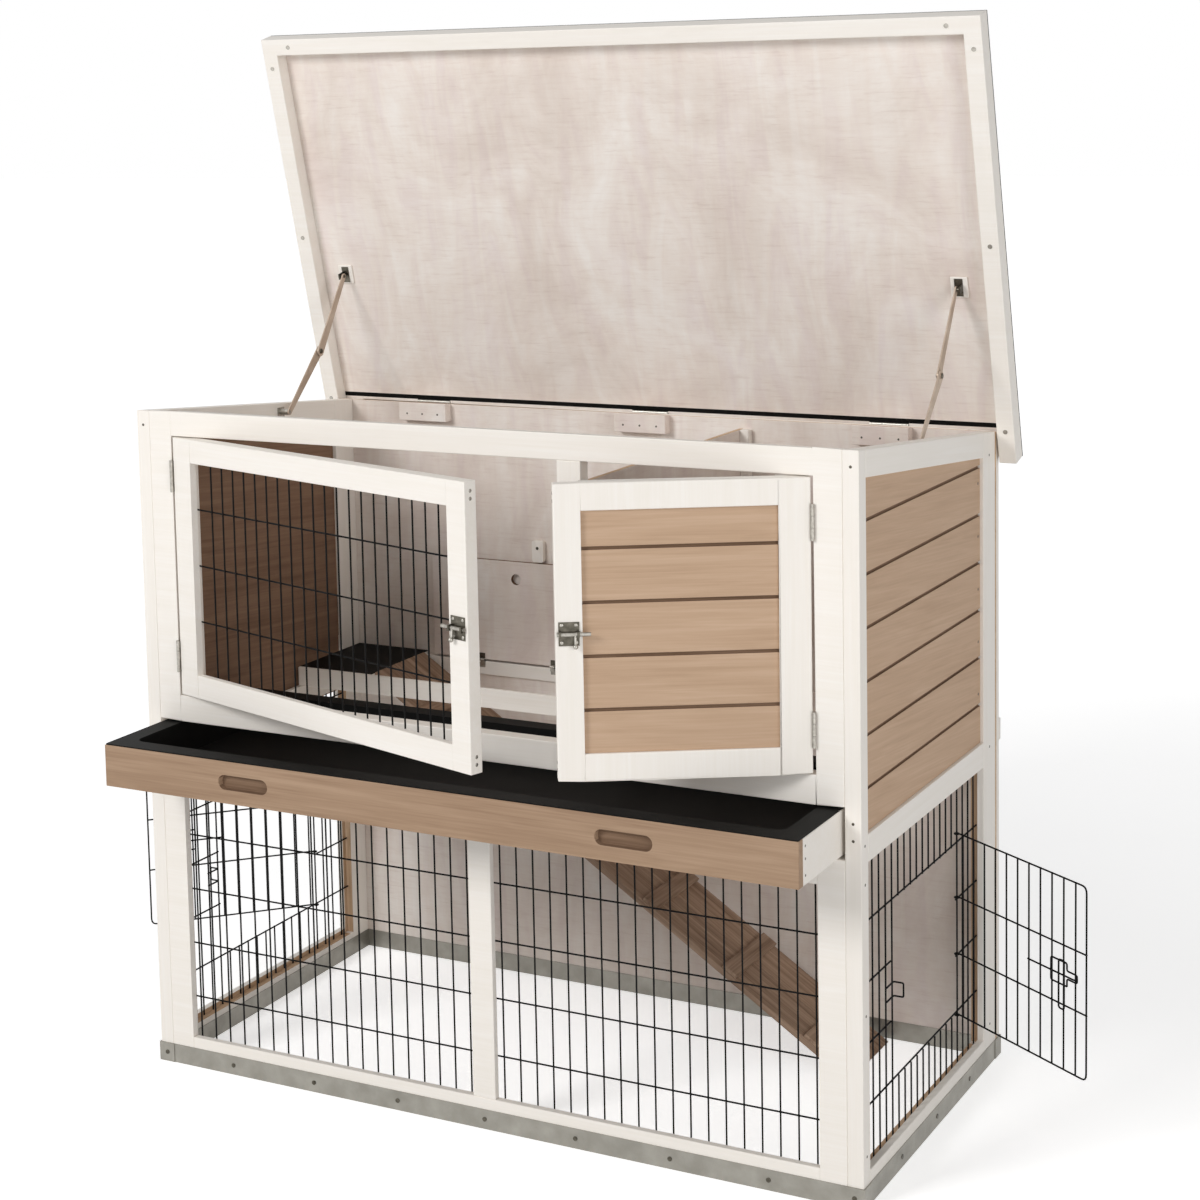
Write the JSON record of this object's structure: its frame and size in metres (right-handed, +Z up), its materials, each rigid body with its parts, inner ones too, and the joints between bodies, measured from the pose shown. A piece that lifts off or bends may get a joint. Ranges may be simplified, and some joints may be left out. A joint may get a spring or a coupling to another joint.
{
  "type": "small animal hutch",
  "caption": "Two-storey timber hutch with a propped lift-up roof, mesh and plank doors, pull-out tray, ramp and wire run.",
  "frame": {"origin": "middle of the front edge of the base, on the surface it stands on", "axes": "+X to the right across the front, +Y towards the back wall, +Z up"},
  "size_m": [1.4919, 0.7676, 1.5077],
  "materials": {
    "painted_timber": "satin paint over softwood",
    "stained_planks": "taupe wood stain on sawn boards",
    "bare_timber": "brown stained softwood",
    "plywood": "thin washed plywood",
    "black_wire": "black coated wire",
    "galvanised_steel": "galvanised sheet",
    "zinc_hardware": "zinc plated",
    "stay_steel": "yellow passivated steel",
    "black_plastic": "moulded",
    "roof_covering": "mineral felt"
  },
  "bodies": {
    "root": {"back_frame": "painted_timber", "back_panels": "plywood", "base_edging": "galvanised_steel", "bolt_keepers": "zinc_hardware", "drawer_runners": "painted_timber", "edging_screws": "zinc_hardware", "floor_rails": "painted_timber", "hinge_blocks": "painted_timber", "hinge_fixed_leaves": "zinc_hardware", "left_front_mesh": "black_wire", "left_side_mesh": "black_wire", "left_side_planks": "stained_planks", "lower_front_frame": "painted_timber", "partition_battens": "painted_timber", "partition_panel": "plywood", "platform_board": "painted_timber", "platform_mat": "black_plastic", "ramp_boards": "bare_timber", "ramp_cleats": "bare_timber", "rear_floor_boards": "plywood", "right_front_mesh": "black_wire", "right_side_mesh": "black_wire", "right_side_planks": "stained_planks", "roof_hinge_fixed_leaves": "zinc_hardware", "side_posts": "painted_timber", "side_rails": "painted_timber", "stay_side_brackets": "stay_steel", "upper_front_frame": "painted_timber"},
    "roof": {"roof_panel": "plywood", "roof_sealing_strip": "black_plastic", "roof_rails": "painted_timber", "roof_felt": "roof_covering", "roof_hinge_moving_leaves": "zinc_hardware", "roof_screws": "zinc_hardware", "stay_pads": "painted_timber", "stay_roof_brackets": "stay_steel"},
    "right_lower_stay": {"right_stay_lower_arm": "stay_steel"},
    "right_upper_stay": {"right_stay_upper_arm": "stay_steel"},
    "left_lower_stay": {"left_stay_lower_arm": "stay_steel"},
    "left_upper_stay": {"left_stay_upper_arm": "stay_steel"},
    "mesh_door": {"mesh_door_frame": "painted_timber", "mesh_door_mesh": "black_wire", "mesh_door_hinge_leaves": "zinc_hardware", "mesh_door_bolt_housing": "zinc_hardware"},
    "mesh_door_bolt": {"mesh_door_bolt": "zinc_hardware"},
    "plank_door": {"plank_door_frame": "painted_timber", "plank_door_planks": "stained_planks", "plank_door_hinge_leaves": "zinc_hardware", "plank_door_bolt_housing": "zinc_hardware"},
    "plank_door_bolt": {"plank_door_bolt": "zinc_hardware"},
    "drawer": {"drawer_front": "stained_planks", "drawer_sides": "painted_timber", "drawer_tray": "black_plastic"},
    "hatch": {"hatch_board": "plywood", "hatch_hinge_leaves": "zinc_hardware"},
    "hatch_button": {"hatch_button": "painted_timber"},
    "right_gate": {"right_gate": "black_wire"},
    "right_gate_latch": {"right_gate_latch": "black_wire"},
    "left_gate": {"left_gate": "black_wire"},
    "left_gate_latch": {"left_gate_latch": "black_wire"}
  },
  "joints": [
    {"name": "roof_hinge", "type": "hinge", "parent": "root", "child": "roof", "pos_m": [0, 0.5575, 0.91918], "axis": [-1, 0, 0], "range_deg": [-70.24, 0]},
    {"name": "right_stay_side_pivot", "type": "hinge", "parent": "root", "child": "right_lower_stay", "pos_m": [0.51, 0.33, 0.92602], "axis": [-1, 0, 0], "range_deg": [-130.91, 0.5]},
    {"name": "right_stay_roof_pivot", "type": "hinge", "parent": "roof", "child": "right_upper_stay", "pos_m": [0.51, 0.49144, 1.12419], "axis": [-1, 0, 0], "range_deg": [-0.5, 132.32]},
    {"name": "left_stay_side_pivot", "type": "hinge", "parent": "root", "child": "left_lower_stay", "pos_m": [-0.51, 0.33, 0.92602], "axis": [-1, 0, 0], "range_deg": [-130.91, 0.5]},
    {"name": "left_stay_roof_pivot", "type": "hinge", "parent": "roof", "child": "left_upper_stay", "pos_m": [-0.51, 0.49144, 1.12419], "axis": [-1, 0, 0], "range_deg": [-0.5, 132.32]},
    {"name": "mesh_door_hinge", "type": "hinge", "parent": "root", "child": "mesh_door", "pos_m": [-0.48975, -0.0028, 0], "axis": [0, 0, -1], "range_deg": [-17.6, 92]},
    {"name": "plank_door_hinge", "type": "hinge", "parent": "root", "child": "plank_door", "pos_m": [0.48975, -0.0028, 0], "axis": [0, 0, 1], "range_deg": [-31, 79]},
    {"name": "mesh_door_bolt_slide", "type": "slide", "parent": "mesh_door", "child": "mesh_door_bolt", "axis": [0.9532, -0.3024, 0], "range_m": [0, 0.015]},
    {"name": "plank_door_bolt_slide", "type": "slide", "parent": "plank_door", "child": "plank_door_bolt", "axis": [-0.8572, -0.515, 0], "range_m": [0, 0.015]},
    {"name": "drawer_slide", "type": "slide", "parent": "root", "child": "drawer", "axis": [0, -1, 0], "range_m": [-0.137, 0.15]},
    {"name": "hatch_hinge", "type": "hinge", "parent": "root", "child": "hatch", "pos_m": [0, 0.5255, 0.512], "axis": [1, 0, 0], "range_deg": [0, 91.4]},
    {"name": "hatch_button_pivot", "type": "hinge", "parent": "root", "child": "hatch_button", "pos_m": [-0.186, 0.536, 0.6995], "axis": [0, 1, 0], "range_deg": [-90, 90]},
    {"name": "right_gate_hinge", "type": "hinge", "parent": "root", "child": "right_gate", "pos_m": [0.5382, 0.3997, 0], "axis": [0, 0, 1], "range_deg": [-56.5, 60]},
    {"name": "right_gate_latch_slide", "type": "slide", "parent": "right_gate", "child": "right_gate_latch", "axis": [0.8339, -0.5519, 0], "range_m": [0, 0.026]},
    {"name": "left_gate_hinge", "type": "hinge", "parent": "root", "child": "left_gate", "pos_m": [-0.5382, 0.3997, 0], "axis": [0, 0, -1], "range_deg": [-44, 72]},
    {"name": "left_gate_latch_slide", "type": "slide", "parent": "left_gate", "child": "left_gate_latch", "axis": [-0.6947, -0.7193, 0], "range_m": [0, 0.026]}
  ],
  "couplings": [
    {"joint": "right_stay_side_pivot", "follows": "roof_hinge", "ratio": 1.8567},
    {"joint": "right_stay_roof_pivot", "follows": "roof_hinge", "ratio": -1.8768},
    {"joint": "left_stay_side_pivot", "follows": "roof_hinge", "ratio": 1.8567},
    {"joint": "left_stay_roof_pivot", "follows": "roof_hinge", "ratio": -1.8768}
  ]
}
